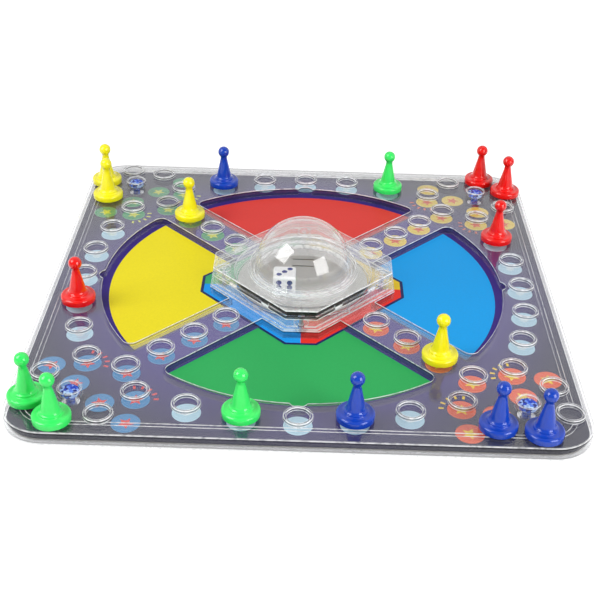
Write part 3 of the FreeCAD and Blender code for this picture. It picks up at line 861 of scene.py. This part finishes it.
def white_table():
    """The floor: white to the eye and to what the clear plastic shows, with the board's shadow kept."""
    sheet = bpy.data.meshes.new("table")
    corners = [(x * TABLE_HALF, y * TABLE_HALF, 0) for x, y in ((-1, -1), (1, -1), (1, 1), (-1, 1))]
    sheet.from_pydata(corners, [], [(0, 1, 2, 3)])
    table = bpy.data.objects.new("table", sheet)
    bpy.context.scene.collection.objects.link(table)
    table.location.z = -TABLE_DROP
    finish = bpy.data.materials.new("white table")
    finish.use_nodes = True
    tree = finish.node_tree
    tree.nodes.remove(tree.nodes["Principled BSDF"])
    ray = grow(tree, "ShaderNodeLightPath").outputs
    mirrored = maths(tree, "MAXIMUM", ray["Is Glossy Ray"], ray["Is Transmission Ray"])
    seen = maths(tree, "MAXIMUM", ray["Is Camera Ray"], mirrored)
    paint = grow(tree, "ShaderNodeBsdfDiffuse", {"Color": TABLE_GREY})
    strength = maths(tree, "MULTIPLY", seen, TABLE_GLOW)
    glow = grow(tree, "ShaderNodeEmission", {"Color": WHITE, "Strength": strength})
    total = grow(tree, "ShaderNodeAddShader", {0: paint.outputs[0], 1: glow.outputs[0]})
    feed(tree, tree.nodes["Material Output"], {"Surface": total.outputs[0]})
    sheet.materials.append(finish)


white_table()


def white_surround():
    """
    The world: white where it is seen, a plain soft fill where it lights, and in mirrors a white backdrop
    behind the board and a dimmer room in front of it.
    """
    world = bpy.data.worlds.new("white surround")
    bpy.context.scene.world = world
    world.use_nodes = True
    tree = world.node_tree
    ray = grow(tree, "ShaderNodeLightPath").outputs
    lighting = maths(tree, "MAXIMUM", ray["Is Diffuse Ray"], ray["Is Shadow Ray"])
    facing = grow(tree, "ShaderNodeTexCoord").outputs["Generated"]
    behind = grow(tree, "ShaderNodeSeparateXYZ", {"Vector": facing}).outputs["Y"]
    room = remap(tree, behind, (-0.35, 0.25), (0.3, 1.0), curve="SMOOTHSTEP")
    seen = maths(tree, "MAXIMUM", ray["Is Camera Ray"], room)
    strength = grow(tree, "ShaderNodeMix", {0: lighting, 2: seen, 3: ROOM_FILL}).outputs[0]
    feed(tree, tree.nodes["Background"], {"Color": WHITE, "Strength": strength})


white_surround()

glinting = bpy.data.collections.new("pieces that glint")
flat_sheets = ("board_cover", "base_tray", "printed_card", "housing_base", "housing_frame")
glareless = [moulding[node].name for node in flat_sheets]
for piece in bpy.context.scene.collection.all_objects:
    if piece.type == "MESH" and piece.name not in glareless:
        glinting.objects.link(piece)

SOFT_BOX_SIZE = (0.62, 0.75)
SOFT_BOX_WATTS = 9.8
GLINT_NEARER = 0.985


def soft_box(name, place):
    """
    A lamp aimed at the board, made as two: one that lights, and a slightly nearer one whose mirror image
    shows in the rounded pieces.
    """
    for part, nearer in (("fill", 1.0), ("glint", GLINT_NEARER)):
        lamp = bpy.data.lights.new(f"{name} {part}", "AREA")
        lamp.shape = "RECTANGLE"
        lamp.size, lamp.size_y = SOFT_BOX_SIZE
        lamp.energy = SOFT_BOX_WATTS
        stand = bpy.data.objects.new(f"{name} {part}", lamp)
        bpy.context.scene.collection.objects.link(stand)
        stand.location = Vector(place) * nearer
        stand.rotation_euler = (-Vector(place)).to_track_quat("-Z", "Y").to_euler()
        if part == "fill":
            stand.visible_glossy = False
        else:
            stand.visible_diffuse = False
            stand.light_linking.receiver_collection = glinting


soft_box("left soft box", (-0.787, -0.363, 0.752))
soft_box("right soft box", (0.797, -0.729, 0.394))

CAMERA_PLACE = (0.9, -498.0, 316.1)
PITCH, YAW, ROLL = 32.9, -0.23, 1.64
SENSOR_WIDTH = 36.0
FOCAL_PIXELS = 1088
IMAGE_SIDE = 600
viewer = bpy.data.cameras.new("camera")
viewer.sensor_width = SENSOR_WIDTH
viewer.lens = FOCAL_PIXELS / IMAGE_SIDE * SENSOR_WIDTH
camera = bpy.data.objects.new("camera", viewer)
bpy.context.scene.collection.objects.link(camera)
tilt = Matrix.Rotation(math.radians(-YAW), 4, "Z")
tilt = tilt @ Matrix.Rotation(math.radians(90 - PITCH), 4, "X")
tilt = tilt @ Matrix.Rotation(math.radians(ROLL), 4, "Z")
camera.matrix_world = Matrix.Translation(Vector(CAMERA_PLACE) * MM) @ tilt
bpy.context.scene.camera = camera

CLEAR_LAYERS = 32
BOUNCES = 24
look = bpy.context.scene
look.view_settings.view_transform = "Standard"
look.cycles.max_bounces = BOUNCES
look.cycles.transmission_bounces = BOUNCES
look.cycles.transparent_max_bounces = CLEAR_LAYERS
